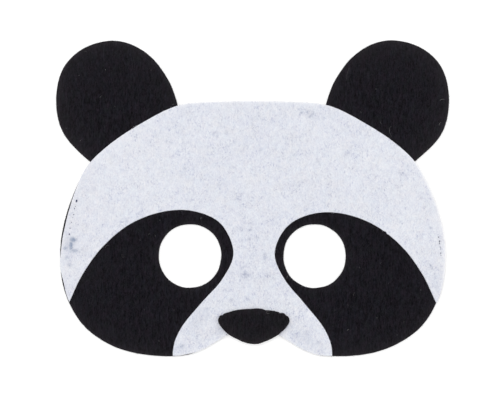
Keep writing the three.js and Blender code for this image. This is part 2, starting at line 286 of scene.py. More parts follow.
def noise(x, y, seed):
    """Gradient noise from about -1 to 1, one lump a unit."""
    x, y = np.asarray(x, float), np.asarray(y, float)
    ix, iy = np.floor(x), np.floor(y)
    fx, fy = x - ix, y - iy
    u, v = fx**3 * (fx * (fx * 6 - 15) + 10), fy**3 * (fy * (fy * 6 - 15) + 10)
    def corner(a, b):
        g = hashed(ix + a, iy + b, seed)
        return np.cos(g) * (fx - a) + np.sin(g) * (fy - b)
    low = corner(0, 0) * (1 - u) + corner(1, 0) * u
    high = corner(0, 1) * (1 - u) + corner(1, 1) * u
    return (low * (1 - v) + high * v) * 1.5


def smooth(low, high, x):
    t = np.clip((x - low) / (high - low), 0, 1)
    return t * t * (3 - 2 * t)


# ------------------------------------------------------------------ how the felt lies
def lie(x, y):
    """How far the sheets lift off the floor: flat in the middle, a little up at the ears and cheeks."""
    lift = 0.45 * smooth(40, 76, y) * smooth(30, 75, np.abs(x)) + 0.30 * smooth(60, 95, np.abs(x)) * smooth(20, -60, y)
    return lift + 0.12 * (1 + noise(x / 55 + 3.1, y / 48 - 1.7, 71)) * smooth(10, 70, np.hypot(x, y + 10))


def dents(x, y, rows, deep, reach):
    d = np.zeros(np.shape(x))
    for _, sx, sy, wide in rows:
        d = np.maximum(d, deep * min(1.0, wide / 0.5) * np.exp(-((x - sx) ** 2 + (y - sy) ** 2) / reach**2))
    return d


def black_relief(x, y):
    """Pressed felt with an upright grain."""
    return (0.050 * noise(x / 7.0, y / 11.0, 1) + 0.034 * noise(x / 1.35, y / 4.6, 2)
            + 0.026 * noise(x / 0.95 + 0.3 * noise(x / 3, y / 3, 4), y / 2.1, 3) + 0.016 * noise(x / 0.8, y / 0.8, 5))


def white_relief(x, y):
    """Softer felt, its fibres lying every way with a slight upright lean."""
    tilt = 0.5 * noise(x / 9, y / 9, 21)
    return (0.055 * noise(x / 6.0, y / 8.0, 11) + 0.026 * noise(x / 1.2 + tilt, y / 2.6, 12)
            + 0.022 * noise((x + y) / 1.25, (x - y) / 2.4, 13) + 0.020 * noise((x - y) / 1.2, (x + y) / 2.3, 14)
            + 0.016 * noise(x / 0.85, y / 0.85, 15))


def backing_top(x, y):
    return BACKING_HIGH + lie(x, y) + black_relief(x, y)


def backing_bottom(x, y):
    return BACKING_LOW + lie(x, y) + 0.05 + 0.6 * np.abs(black_relief(x + 200, y)) + dents(x, y, STITCHES, 0.45, 0.9)


def face_top(x, y):
    return FACE_HIGH + lie(x, y) + white_relief(x, y) - dents(x, y, STITCHES, 0.28, 0.75)


def face_bottom(x, y):
    return FACE_LOW + lie(x, y) + 0.05 + 0.02 * noise(x / 3, y / 3, 31)


def nose_rim(x, y):
    """The nose is stuck down in the middle and stands up a little round its rim."""
    return (0.15 + 0.11 * smooth(-54, -61, y)) * smooth(0.45, 1.0, np.hypot((x - NOSE_SHIFT[0]) / 16.8, (y + 59.6) / 8.4))


def nose_top(x, y):
    return NOSE_HIGH + lie(x, y) + nose_rim(x, y) + 0.8 * black_relief(x * 1.1 + 300, y * 1.1 + 50) - 0.05


def nose_bottom(x, y):
    return NOSE_LOW + lie(x, y) + nose_rim(x, y) + 0.02 * noise(x / 2, y / 2, 33)


# ------------------------------------------------------------------ outlines of the three sheets, material on the left
face_line = whole(FACE)
def aside(rows):
    """The rows moved to the right of the way they run, by their third column."""
    p = np.array([r[:2] for r in rows])
    run = np.vstack([p[1] - p[0], p[2:] - p[:-2], p[-1] - p[-2]])
    run /= np.linalg.norm(run, axis=1, keepdims=True)
    return p + np.stack([run[:, 1], -run[:, 0]], axis=1) * np.array([r[2] for r in rows])[:, None]


ears, openings = list(EAR.values()), list(PATCH_OPENING.values())
ear_out = outside_run(spline(ears, False), face_line)
ear_left = outside_run(mirrored(spline(aside(ears), False)), face_line)
top_run = between(face_line, ear_left[-1], ear_out[0])
side_run = between(face_line, ear_out[-1], ear_left[0])
BACKING_STEP = 0.62
backing_loop = joined([top_run, ear_out, side_run, ear_left], BACKING_STEP)[::-1]
turn = np.linspace(0, 2 * math.pi, 153)[:-1]
eye_loops = [np.stack([x + w * np.cos(-turn), y + h * np.sin(-turn)], axis=1) for x, y, w, h in EYES.values()]

white_line = face_line + FACE_SHIFT
opening_right, opening_left = spline(openings, False), mirrored(spline(aside(openings), False))
cut_right = outside_run(opening_right, white_line, True)
cut_left = outside_run(opening_left, white_line, True)
over_run = between(white_line, cut_left[-1], cut_right[0])
under_run = between(white_line, cut_right[-1], cut_left[0])
FACE_STEP = 0.5
face_loop = nicked(joined([over_run, cut_right, under_run, cut_left], FACE_STEP)[::-1], FACE_NICKS)

NOSE_STEP = 0.26
nose_line = whole(NOSE) + NOSE_SHIFT
nose_loop = nicked(joined([np.vstack([nose_line, nose_line[:1]])], NOSE_STEP)[::-1], NOSE_NICKS)


def ragged(loop, amount, seed, pare=0.0):
    """A cut edge that wanders a little, pared back."""
    s = np.concatenate([[0], np.cumsum(np.linalg.norm(np.diff(loop, axis=0), axis=1))])
    w = noise(s / 2.3, s * 0 + 0.5, seed) * 0.6 + noise(s / 0.9, s * 0 + 0.5, seed + 1) * 0.4
    fade = smooth(0, 3, s) * smooth(0, 3, s[-1] - s)
    return loop + inward(loop) * (amount * w * fade + pare)[:, None]


backing_loops = [ragged(nicked(l, n), a, s) for l, n, a, s in ((backing_loop, BACKING_NICKS, 0.06, 41), (eye_loops[0], EYE_NICKS, 0.04, 43), (eye_loops[1], EYE_NICKS, 0.04, 45))]
open_edge = np.vstack([cut_right, cut_left])
face_loops = [ragged(face_loop, 0.06, 47, OPENING_PARE * smooth(1.2, 0.6, away(face_loop, open_edge)))]
nose_loops = [ragged(nose_loop, 0.07, 49)]

ORIGIN = -(backing_loop.min(0) + backing_loop.max(0)) / 2  # the frame's origin is under the middle of the cut outline


# ------------------------------------------------------------------ meshes
def mesh_piece(name, verts, faces3, faces4, uv=None, marks=None):
    """A mesh object in metres from points in millimetres, triangles, quads, one uv for each corner, and named values for each point."""
    verts = np.asarray(verts, float).copy()
    verts[:, :2] += ORIGIN
    f3, f4 = np.asarray(faces3, np.int32).reshape(-1, 3), np.asarray(faces4, np.int32).reshape(-1, 4)
    me = bpy.data.meshes.new(name)
    me.vertices.add(len(verts))
    me.vertices.foreach_set("co", (verts * MM).astype(np.float32).ravel())
    corners = np.concatenate([f3.ravel(), f4.ravel()])
    me.loops.add(len(corners))
    me.loops.foreach_set("vertex_index", corners)
    sizes = np.concatenate([np.full(len(f3), 3), np.full(len(f4), 4)])
    me.polygons.add(len(sizes))
    me.polygons.foreach_set("loop_start", np.concatenate([[0], np.cumsum(sizes)[:-1]]).astype(np.int32))
    me.polygons.foreach_set("use_smooth", np.ones(len(sizes), bool))
    if uv is not None:
        layer = me.uv_layers.new(name="OFBake")
        layer.data.foreach_set("uv", np.asarray(uv, np.float32).ravel())
    for key, values in (marks or {}).items():
        me.attributes.new(key, "FLOAT", "POINT").data.foreach_set("value", np.asarray(values, np.float32))
    me.update(calc_edges=True)
    me.validate()
    ob = bpy.data.objects.new(name, me)
    bpy.context.scene.collection.objects.link(ob)
    return ob


def lattice(loops, step, keep=None, seed=0):
    """Points spread over the inside of loops, a step apart, off the edges."""
    everything = np.vstack(loops)
    lo, hi = everything.min(0), everything.max(0)
    r = np.random.default_rng(seed)
    ys = np.arange(lo[1], hi[1], step * math.sqrt(3) / 2)
    pts = np.vstack([np.stack([np.arange(lo[0] + (k % 2) * step / 2, hi[0], step), np.full(len(np.arange(lo[0] + (k % 2) * step / 2, hi[0], step)), y)], axis=1)
                     for k, y in enumerate(ys)])
    pts = pts + r.uniform(-0.16, 0.16, pts.shape) * step
    if keep is not None:
        pts = pts[keep(pts)]
    ok = inside(pts, loops[0])
    for hole in loops[1:]:
        ok &= ~inside(pts, hole)
    pts = pts[ok]
    return pts[away(pts, everything) > 0.42 * step]


def filled(loops, pts):
    """Triangles over the inside of loops, through points: indices into the loops' points and then the points."""
    ring = np.vstack(loops)
    edges, k = [], 0
    for loop in loops:
        n = len(loop)
        edges += [(k + i, k + (i + 1) % n) for i in range(n)]
        k += n
    every = np.vstack([ring, pts])
    _, _, tris, origin, _, _ = delaunay_2d_cdt([Vector(v) for v in every.tolist()], edges, [], 0, 1e-6)
    first = np.array([o[0] for o in origin])
    tris = first[np.array([t for t in tris if len(t) == 3])]
    middle = every[tris].mean(1)
    ok = inside(middle, loops[0])
    for hole in loops[1:]:
        ok &= ~inside(middle, hole)
    tris = tris[ok]
    a, b, c = (every[tris[:, i]] for i in range(3))
    flip = (b[:, 0] - a[:, 0]) * (c[:, 1] - a[:, 1]) - (b[:, 1] - a[:, 1]) * (c[:, 0] - a[:, 0]) < 0
    tris[flip] = tris[flip][:, ::-1]
    return every, tris


# Section of a cut edge, from the top sheet face round to the bottom: how far in, and the share of the height.
EDGE = [("top", 0.42, 1.0), ("shoulder", 0.17, 0.975), ("upper", 0.045, 0.90), ("wall_upper", 0.0, 0.74), ("wall", 0.01, 0.5),
        ("wall_lower", 0.0, 0.26), ("lower", 0.05, 0.10), ("foot", 0.18, 0.025), ("bottom", 0.42, 0.0)]


def room(loop, n, most):
    """How far each point of a loop can move in before it nears another stretch of edge."""
    everything = loop
    best, free = np.full(len(loop), 0.015), np.ones(len(loop), bool)
    for d in np.linspace(0.06, most, 10):
        free &= away(loop + n * d, everything) > 0.93 * d
        best = np.where(free, d, best)
    for _ in range(8):
        best = np.minimum(best, np.minimum(np.roll(best, 1), np.roll(best, -1)) + 0.04)
    return best / most


def felt_sheet(name, loops, top, bottom, step, keep_fine=None, coarse=None, bottom_step=1.0, seed=0, marks=None):
    """A sheet of felt with soft cut edges, closed, its two faces following two height functions."""
    most = EDGE[0][1]
    insets = [(inward(l), room(l, inward(l), most)) for l in loops]
    rings = [[l + n * (d * s)[:, None] for (l, (n, s)) in zip(loops, insets)] for _, d, _ in EDGE]
    first = rings[0]
    pts = lattice(first, step, keep_fine, seed)
    if coarse:
        pts = np.vstack([pts, lattice(first, coarse, lambda q: ~keep_fine(q), seed + 1)])
    upper, upper_tris = filled(first, pts)
    under, under_tris = filled(rings[-1], lattice(rings[-1], bottom_step, None, seed + 2))
    n = sum(len(l) for l in loops)
    verts, offset = [], []
    for (key, _, share), ring in zip(EDGE, rings):
        xy = np.vstack(ring)
        s = np.arange(n)
        wob = 0.03 * noise(s / 2.1, np.full(n, share * 9.0), seed + 60) if 0.05 < share < 0.95 else np.zeros(n)
        xy = xy - np.vstack([i[0] for i in insets]) * wob[:, None]
        z = bottom(xy[:, 0], xy[:, 1]) * (1 - share) + top(xy[:, 0], xy[:, 1]) * share
        offset.append(sum(len(v) for v in verts))
        verts.append(np.column_stack([xy, z]))
    up_at = sum(len(v) for v in verts)
    extra = upper[n:]
    verts.append(np.column_stack([extra, top(extra[:, 0], extra[:, 1])]))
    down_at = sum(len(v) for v in verts)
    extra = under[n:]
    verts.append(np.column_stack([extra, bottom(extra[:, 0], extra[:, 1])]))
    verts = np.vstack(verts)
    up = np.where(upper_tris < n, offset[0] + upper_tris, up_at + upper_tris - n)
    down = np.where(under_tris < n, offset[-1] + under_tris, down_at + under_tris - n)[:, ::-1]
    quads, sides, k = [], [], 0
    for loop in loops:
        m = len(loop)
        i, j = k + np.arange(m), k + (np.arange(m) + 1) % m
        for a, b in zip(offset, offset[1:]):
            quads.append(np.stack([a + i, b + i, b + j, a + j], axis=1))
            sides.append(np.stack([np.full(m, a), i, np.where(j < i, i + 1, j)], axis=1))
        k += m
    quads = np.vstack(quads)
    # A flat map: the top large, the bottom small above it, the cut edge in strips beside the bottom.
    lo, hi = verts[:, :2].min(0), verts[:, :2].max(0)
    wide, tall = hi - lo
    gap = 0.012
    large = min((1 - 2 * gap) / wide, 0.70 / tall)
    above = 2 * gap + large * tall
    small = min(0.33 / wide, (1 - gap - above) / tall)
    beside = 2 * gap + small * wide
    def flat(index, scale, shift):
        return (verts[index, :2] - lo) * scale + shift
    uv3 = np.concatenate([flat(up.ravel(), large, (gap, gap)), flat(down.ravel(), small, (gap, above))])
    where = np.vstack(sides)
    level = {a: q for q, a in enumerate(offset)}
    ring_no = np.array([level[a] for a in where[:, 0]])
    pitch = np.linalg.norm(np.roll(loops[0], -1, axis=0) - loops[0], axis=1).mean()
    strip = (1 - gap - beside) / large - 2 * pitch
    s0, s1 = where[:, 1] * pitch, where[:, 2] * pitch
    row = np.floor(s0 / strip)
    high = (1 - gap - above) / (row.max() + 1)
    base_v = above + row * high
    v0 = base_v + (high - gap) * (1 - ring_no / (len(EDGE) - 1))
    v1 = base_v + (high - gap) * (1 - (ring_no + 1) / (len(EDGE) - 1))
    u0, u1 = beside + (s0 - row * strip) * large, beside + (s1 - row * strip) * large
    uv4 = np.stack([np.stack([u0, v0], 1), np.stack([u0, v1], 1), np.stack([u1, v1], 1), np.stack([u1, v0], 1)], axis=1).reshape(-1, 2)
    front = np.concatenate([np.full(n, smooth(0.0, 0.9, share)) for _, _, share in EDGE] + [np.ones(down_at - up_at), np.zeros(len(verts) - down_at)])
    made = {key: f(verts[:, 0], verts[:, 1], front) for key, f in (marks or {}).items()}
    return mesh_piece(name, verts, np.vstack([up, down]), quads, np.vstack([uv3, uv4]), made)


def tubes(name, paths, radii, sides=3, marks=None):
    """Closed round strands, joined in one mesh: paths (n, steps, 3), radii (n, steps)."""
    n, m, _ = paths.shape
    along = np.gradient(paths, axis=1)
    along /= np.maximum(np.linalg.norm(along, axis=2, keepdims=True), 1e-9)
    up = np.where(np.abs(along[..., 2:]) > 0.9, np.array([1.0, 0, 0]), np.array([0, 0, 1.0]))
    across = np.cross(along, up)
    across /= np.maximum(np.linalg.norm(across, axis=2, keepdims=True), 1e-9)
    over = np.cross(across, along)
    a = np.arange(sides) / sides * 2 * np.pi + np.pi / 2
    ring = across[:, :, None] * np.cos(a)[:, None] + over[:, :, None] * np.sin(a)[:, None]
    verts = paths[:, :, None] + ring * radii[:, :, None, None]
    at = np.arange(n * m * sides).reshape(n, m, sides)
    nxt = np.roll(at, -1, axis=2)
    quads = np.stack([at[:, :-1], nxt[:, :-1], nxt[:, 1:], at[:, 1:]], axis=-1).reshape(-1, 4)
    fan = [np.stack([at[:, 0, 0], at[:, 0, k + 1], at[:, 0, k]], axis=-1) for k in range(1, sides - 1)]
    fan += [np.stack([at[:, -1, 0], at[:, -1, k], at[:, -1, k + 1]], axis=-1) for k in range(1, sides - 1)]
    caps = np.vstack(fan)
    # Each strand has a cell of a grid as its map.
    side = int(math.ceil(math.sqrt(n)))
    cell = np.stack([np.arange(n) % side, np.arange(n) // side], axis=1) / side
    t = np.linspace(0.1, 0.9, m) / side
    w = np.linspace(0.2, 0.8, sides + 1) / side
    spot = np.empty((n, m, sides + 1, 2))
    spot[..., 0] = cell[:, None, None, 0] + t[None, :, None]
    spot[..., 1] = cell[:, None, None, 1] + w[None, None, :]
    uv4 = np.stack([spot[:, :-1, :-1], spot[:, :-1, 1:], spot[:, 1:, 1:], spot[:, 1:, :-1]], axis=3).reshape(-1, 2)
    uv3 = []
    for end in (0, -1):
        for k in range(1, sides - 1):
            order = (0, k + 1, k) if end == 0 else (0, k, k + 1)
            uv3.append(np.stack([spot[:, end, q] for q in order], axis=1))
    uv3 = np.vstack([u.reshape(-1, 2) for u in uv3])
    values = {key: np.repeat(v, m * sides) for key, v in (marks or {}).items()}
    return mesh_piece(name, verts.reshape(-1, 3), caps, quads, np.vstack([uv3, uv4]), values)


def nap(name, loops, top, count, seed, heading, spread_deg, loose, length, rise, radius, keep=None, steps=5):
    """Fibres that lie on a sheet's face and stand a little proud of it."""
    r = np.random.default_rng(seed)
    everything = np.vstack(loops)
    lo, hi = everything.min(0), everything.max(0)
    made = []
    while sum(len(q) for q in made) < count:
        n = count * 2
        mid = r.uniform(lo, hi, (n, 2))
        a = np.radians(np.where(r.random(n) < loose, r.uniform(0, 180, n), r.normal(heading, spread_deg, n)))
        long = r.uniform(*length, n) * r.uniform(0.6, 1.0, n)
        bend = r.normal(0, 0.16, n) * long
        t = np.linspace(0, 1, steps)
        d, q = np.stack([np.cos(a), np.sin(a)], 1), np.stack([-np.sin(a), np.cos(a)], 1)
        wig = r.normal(0, 0.05, n) * long
        xy = mid[:, None] + d[:, None] * ((t - 0.5) * long[:, None])[..., None] \
            + q[:, None] * (bend[:, None] * (1 - (2 * t - 1) ** 2) + wig[:, None] * np.sin(2 * np.pi * t))[..., None]
        ok = np.ones(n, bool)
        for e in (xy[:, 0], xy[:, -1], mid):
            ok &= inside(e, loops[0])
            for hole in loops[1:]:
                ok &= ~inside(e, hole)
        if keep is not None:
            ok &= keep(xy[:, 0]) & keep(xy[:, -1]) & keep(mid)
        made.append(xy[ok])
    xy = np.vstack(made)[:count]
    ok = (away(xy[:, 0], everything) > 0.5) & (away(xy[:, -1], everything) > 0.5)
    xy = xy[ok]
    n = len(xy)
    t = np.linspace(0, 1, steps)
    proud = r.uniform(*rise, n)[:, None] * np.sin(np.pi * t) - 0.018
    z = top(xy[..., 0], xy[..., 1]) + proud
    thick = r.uniform(*radius, n)[:, None] * (0.55 + 0.45 * np.sin(np.pi * t))
    return tubes(name, np.concatenate([xy, z[..., None]], axis=2), thick, 3, {"shade": r.random(n)})


def fuzz(name, loops, top, bottom, per_mm, seed, length, radius, out=1.0):
    """Short fibres that stand out of a cut edge."""
    r = np.random.default_rng(seed)
    paths, radii = [], []
    for loop in loops:
        n = int(len(loop) * np.linalg.norm(loop[1] - loop[0]) * per_mm)
        i = r.integers(0, len(loop), n)
        nrm, here = -inward(loop)[i], loop[i]
        tan = np.stack([-nrm[:, 1], nrm[:, 0]], axis=1)
        share = r.uniform(0.12, 0.97, n)
        lean, long = r.normal(0, 0.75, n), r.uniform(*length, n)
        t = np.linspace(0, 1, 4)
        curl = r.normal(0, 0.45, n)
        xy = here[:, None] - nrm[:, None] * 0.12 + nrm[:, None] * (t * long[:, None] * np.cos(lean)[:, None] * out)[..., None] \
            + tan[:, None] * (t * long[:, None] * np.sin(lean)[:, None] + curl[:, None] * long[:, None] * t**2)[..., None]
        base = bottom(here[:, 0], here[:, 1]) * (1 - share) + top(here[:, 0], here[:, 1]) * share
        z = base[:, None] + r.normal(0, 0.25, n)[:, None] * long[:, None] * t - 0.25 * long[:, None] * t**2
        z = np.maximum(z, 0.03)
        paths.append(np.concatenate([xy, z[..., None]], axis=2))
        radii.append(r.uniform(*radius, n)[:, None] * np.linspace(1, 0.45, 4))
    paths, radii = np.vstack(paths), np.vstack(radii)
    return tubes(name, paths, radii, 3, {"shade": r.random(len(paths))})


# ------------------------------------------------------------------ materials
def tree(name):
    m = bpy.data.materials.new(name)
    m.use_nodes = True
    t = m.node_tree
    t.nodes.clear()
    out, bsdf = t.nodes.new("ShaderNodeOutputMaterial"), t.nodes.new("ShaderNodeBsdfPrincipled")
    t.links.new(bsdf.outputs["BSDF"], out.inputs["Surface"])
    return m, t, bsdf


class Nodes:
    """Short names for the nodes of one material."""
    def __init__(self, t):
        self.t = t
        self.place = t.nodes.new("ShaderNodeTexCoord").outputs["Object"]

    def grain(self, size, seed=0.0, turn=0.0, detail=2.0, rough=0.55, twist=0.0):
        """Noise with lumps of a size in millimetres: (across, up)."""
        m = self.t.nodes.new("ShaderNodeMapping")
        m.vector_type = "TEXTURE"
        m.inputs["Location"].default_value = (seed * 0.0137, seed * 0.0071, seed * 0.0191)
        m.inputs["Rotation"].default_value = (0, 0, math.radians(turn))
        m.inputs["Scale"].default_value = (size[0] * MM, size[1] * MM, size[0] * MM)
        self.t.links.new(self.place, m.inputs["Vector"])
        n = self.t.nodes.new("ShaderNodeTexNoise")
        n.inputs["Scale"].default_value, n.inputs["Detail"].default_value = 1.0, detail
        n.inputs["Roughness"].default_value, n.inputs["Distortion"].default_value = rough, twist
        self.t.links.new(m.outputs["Vector"], n.inputs["Vector"])
        return n.outputs["Fac"]

    def value(self, key):
        n = self.t.nodes.new("ShaderNodeAttribute")
        n.attribute_name = key
        return n.outputs["Fac"]

    def sum(self, a, b, op="ADD"):
        n = self.t.nodes.new("ShaderNodeMath")
        n.operation = op
        for k, v in enumerate((a, b)):
            if isinstance(v, (int, float)):
                n.inputs[k].default_value = v
            else:
                self.t.links.new(v, n.inputs[k])
        return n.outputs[0]

    def times(self, a, b):
        return self.sum(a, b, "MULTIPLY")

    def span(self, v, low, high, to_low=0.0, to_high=1.0, soft=False):
        n = self.t.nodes.new("ShaderNodeMapRange")
        n.interpolation_type = "SMOOTHSTEP" if soft else "LINEAR"
        for key, x in (("From Min", low), ("From Max", high), ("To Min", to_low), ("To Max", to_high)):
            n.inputs[key].default_value = x
        self.t.links.new(v, n.inputs["Value"])
        return n.outputs["Result"]

    def mix(self, share, a, b):
        n = self.t.nodes.new("ShaderNodeMix")
        n.data_type = "RGBA"
        for v, key in ((share, 0), (a, 6), (b, 7)):
            if isinstance(v, (int, float)):
                n.inputs[key].default_value = v
            elif isinstance(v, tuple):
                n.inputs[key].default_value = (*v, 1)
            else:
                self.t.links.new(v, n.inputs[key])
        return n.outputs[2]

    def bump(self, height, strength, far):
        n = self.t.nodes.new("ShaderNodeBump")
        n.inputs["Strength"].default_value, n.inputs["Distance"].default_value = strength, far * MM
        self.t.links.new(height, n.inputs["Height"])
        return n.outputs["Normal"]


def felt_look(bsdf, sheen, gloss=0.02):
    bsdf.inputs["Metallic"].default_value = 0.0
    bsdf.inputs["Specular IOR Level"].default_value = gloss
    bsdf.inputs["Sheen Weight"].default_value = sheen
    bsdf.inputs["Sheen Roughness"].default_value = 0.6


def black_felt(name, contrast, cool=1.0):
    """Upright grain, a little uneven in tone and hue, paler towards the cut edges: partly wear, partly painted glare
    from the bright floor and the white felt beside them.
    """
    m, t, bsdf = tree(name)
    k = Nodes(t)
    streak = k.grain((0.54, 2.5), 1, 0, 1.0, 0.6, 0.0)
    fine = k.grain((0.46, 0.80), 2, 0, 1.0, 0.6, 0.0)
    band = k.grain((1.9, 7.5), 6, 2, 1.0, 0.5, 0.2)
    wide = k.grain((8.0, 16.0), 3, 0, 2.0)
    tint = k.grain((1.5, 4.6), 4, 0, 2.0)
    green, red = k.grain((2.6, 4.4), 5, 0, 2.0), k.grain((2.8, 4.8), 7, 0, 2.0)
    pale = k.sum(k.times(streak, 0.54), k.times(fine, 0.46))
    pale = k.span(pale, 0.33, 0.69, 0.0, 1.0)
    pale = k.sum(k.times(pale, 0.88), k.sum(k.times(k.span(wide, 0.33, 0.67), 0.07), k.times(k.span(band, 0.30, 0.70), 0.17)))
    pale = k.sum(k.times(k.sum(pale, -0.56), contrast), 0.49)
    dark = k.mix(k.span(tint, 0.36, 0.64), (0.0021, 0.0016, 0.0024 * cool), (0.0017, 0.0017, 0.0027 * cool))
    light = k.mix(k.span(tint, 0.34, 0.66), (0.0173, 0.0150, 0.0206 * cool), (0.0152, 0.0150, 0.0214 * cool))
    light = k.mix(k.span(green, 0.49, 0.63, 0.0, 0.85), light, (0.0147, 0.0158, 0.0188 * cool))
    light = k.mix(k.span(red, 0.49, 0.63, 0.0, 0.85), light, (0.0186, 0.0146, 0.0216 * cool))
    felt = k.mix(pale, dark, light)
    # paler towards the edges: partly wear, partly painted glare from the floor and the white felt
    t.links.new(k.mix(k.value("wear_and_glare"), felt, (0.098, 0.088, 0.092)), bsdf.inputs["Base Color"])
    t.links.new(k.span(fine, 0.3, 0.7, 0.88, 1.0), bsdf.inputs["Roughness"])
    t.links.new(k.bump(k.sum(streak, fine), 0.5, 0.12), bsdf.inputs["Normal"])
    felt_look(bsdf, 0.02)
    return m


def white_felt():
    """Fibres lying every way, bluish specks in clusters where the black greys it, marks, pale creases, and a painted
    glow along the cut edge.
    """
    m, t, bsdf = tree("white_felt")
    k = Nodes(t)
    def hairs(seed, turn):
        """Thin winding lines."""
        n = k.grain((1.5, 3.6), seed, turn, 1.0, 0.5, 0.7)
        return k.span(k.sum(k.sum(n, -0.5), 0, "ABSOLUTE"), 0.0, 0.030, 1.0, 0.0)
    def specks(seed, turn):
        return k.span(k.grain((0.60, 1.30), seed, turn, 1.0, 0.5, 0.5), 0.555, 0.715, 0, 1, True)
    pale = k.times(k.sum(k.sum(hairs(11, 6), hairs(12, 58)), hairs(13, -49)), 1 / 3)
    speck = k.sum(k.sum(k.times(specks(21, 8), 1.3), k.times(specks(22, 55), 0.75)), k.times(specks(23, -45), 0.75))
    fine = k.grain((0.47, 0.84), 14, 0, 1.0, 0.6)
    mottle = k.grain((1.3, 2.5), 18, 8, 1.0, 0.5, 0.4)
    cloud = k.grain((3.2, 3.9), 15, 0, 2.0, 0.55, 0.3)
    big = k.grain((24.0, 24.0), 16, 0, 2.0)
    warm = k.grain((6.0, 5.0), 17, 0, 2.0)
    cluster = k.span(cloud, 0.40, 0.62, 0.15, 1.2)
    grey = k.sum(k.times(k.times(speck, cluster), 0.31), k.times(k.span(fine, 0.72, 0.28), 0.34))
    grey = k.sum(grey, k.times(k.span(mottle, 0.30, 0.70), 0.135))
    grey = k.sum(grey, k.sum(k.times(k.span(cloud, 0.38, 0.68), 0.03), k.times(k.span(big, 0.35, 0.68), 0.07)))
    grey = k.sum(k.times(k.sum(grey, -0.33), k.value("speckled")), 0.33)
    grey = k.sum(grey, k.sum(k.times(pale, -0.20), k.times(k.value("paling"), -0.10)))
    hue = k.grain((1.9, 2.5), 24, 0, 2.0, 0.6)
    clean = k.mix(k.span(warm, 0.56, 0.70), (0.785, 0.802, 0.844), (0.795, 0.803, 0.833))
    clean = k.mix(k.span(hue, 0.54, 0.66, 0.0, 1.0), clean, (0.796, 0.799, 0.834))
    clean = k.mix(k.span(hue, 0.46, 0.34, 0.0, 1.0), clean, (0.774, 0.805, 0.850))
    felt = k.mix(k.span(grey, 0.0, 1.0), clean, k.mix(k.span(warm, 0.40, 0.60), (0.454, 0.477, 0.608), (0.465, 0.481, 0.584)))
    felt = k.mix(k.value("cream"), felt, (0.86, 0.765, 0.71))
    # painted light: the white felt's cut edge is painted near white, a glow from the floor below
    felt = k.mix(k.value("painted_edge_glow"), felt, (0.955, 0.953, 0.950))
    blot = k.span(k.grain((0.58, 0.80), 19, 15, 1.0, 0.5, 0.5), 0.36, 0.66)
    mark = k.mix(k.value("blue"), (0.33, 0.35, 0.47), (0.26, 0.31, 0.42))
    uneven, even = k.span(blot, 0.0, 1.0, 0.10, 1.25), k.span(blot, 0.0, 1.0, 0.82, 1.30)
    broken = k.sum(uneven, k.times(k.sum(even, uneven, "SUBTRACT"), k.value("blue")))
    t.links.new(k.mix(k.times(k.value("stain"), broken), felt, mark), bsdf.inputs["Base Color"])
    t.links.new(k.span(fine, 0.3, 0.7, 0.86, 1.0), bsdf.inputs["Roughness"])
    t.links.new(k.bump(k.sum(pale, fine), 0.30, 0.08), bsdf.inputs["Normal"])
    felt_look(bsdf, 0.05, 0.08)
    return m


def fibre(name, low, high, sheen=0.05):
    """One fibre differs from the next, and along its length."""
    m, t, bsdf = tree(name)
    k = Nodes(t)
    share = k.sum(k.times(k.value("shade"), 0.8), k.times(k.grain((0.5, 0.5), 31, 0, 1.0), 0.2))
    t.links.new(k.mix(share, low, high), bsdf.inputs["Base Color"])
    t.links.new(k.span(share, 0.0, 1.0, 0.7, 0.95), bsdf.inputs["Roughness"])
    felt_look(bsdf, sheen)
    return m


def floor_look():
    """A pale light table: it glows a little, so that the felt, a few millimetres thick, throws no shadow."""
    m, t, bsdf = tree("pale_floor")
    k = Nodes(t)
    t.links.new(k.mix(k.grain((60.0, 60.0), 41, 0, 3.0), (0.58, 0.58, 0.58), (0.61, 0.61, 0.61)), bsdf.inputs["Base Color"])
    t.links.new(k.span(k.grain((8.0, 8.0), 42), 0.3, 0.7, 0.85, 0.95), bsdf.inputs["Roughness"])
    bsdf.inputs["Specular IOR Level"].default_value = 0.1
    bsdf.inputs["Emission Color"].default_value = (1, 1, 1, 1)
    bsdf.inputs["Emission Strength"].default_value = 0.52
    return m


def spot(x, y, row):
    _, sx, sy, wide, tall, deg, strength, _ = row
    c, s = math.cos(math.radians(deg)), math.sin(math.radians(deg))
    u, v = ((x - sx) * c + (y - sy) * s) / wide, ((y - sy) * c - (x - sx) * s) / tall
    return np.exp(-(u * u + v * v)) * strength


def stain(x, y, front):
    return np.clip(np.max([spot(x, y, r) for r in STAINS], axis=0), 0, 1)


def blue(x, y, front):
    each = [spot(x, y, r) for r in STAINS]
    return np.clip(sum(e * r[-1] for e, r in zip(each, STAINS)) / (sum(each) + 1e-6), 0, 1)


def paling(x, y, front):
    """Pale creases, cleaner and greyer places, and paler towards the right-hand side above the lower cheek."""
    places = sum(v * np.exp(-(((x - px) / wide) ** 2 + ((y - py) / tall) ** 2)) for _, px, py, wide, tall, v in CLEANER)
    return places + 0.5 * smooth(35, 85, x) * smooth(-50, -30, y) + np.max([v * np.exp(-(((x - at - 0.25 * noise(y / 9, y * 0, 83)) / wide) ** 2)) * smooth(top, top - 6, y) * smooth(low, low + 3, y)
                   for _, at, top, low, wide, v in CREASES], axis=0)


def speckled(x, y, front):
    """How strong the white felt's specks are: less on the forehead, more beside the muzzle and low on the right cheek."""
    muzzle = smooth(9, 17, np.abs(x)) * smooth(46, 40, np.abs(x)) * smooth(-42, -52, y)
    return 0.95 + 0.08 * smooth(-2, -14, y) + 0.15 * muzzle + 0.12 * smooth(70, 82, x) * smooth(-22, -34, y)


def wear_and_glare(edges, all_over):
    """How much paler felt is all over, and towards its edges, partly wear and partly painted glare: points of an edge,
    how strongly it pales the felt close by, near and far, and the share of that on the back.
    """
    def f(x, y, front):
        made = np.zeros(len(x))
        for edge, (close, near, far), back in edges:
            d = away(np.column_stack([x, y]), edge)
            made = np.maximum(made, (back + (1 - back) * front) * (close * np.exp(-d / 0.8) + near * np.exp(-d / 3.7) + far * np.exp(-d / 12)))
        return made + all_over(x, y)
    return f


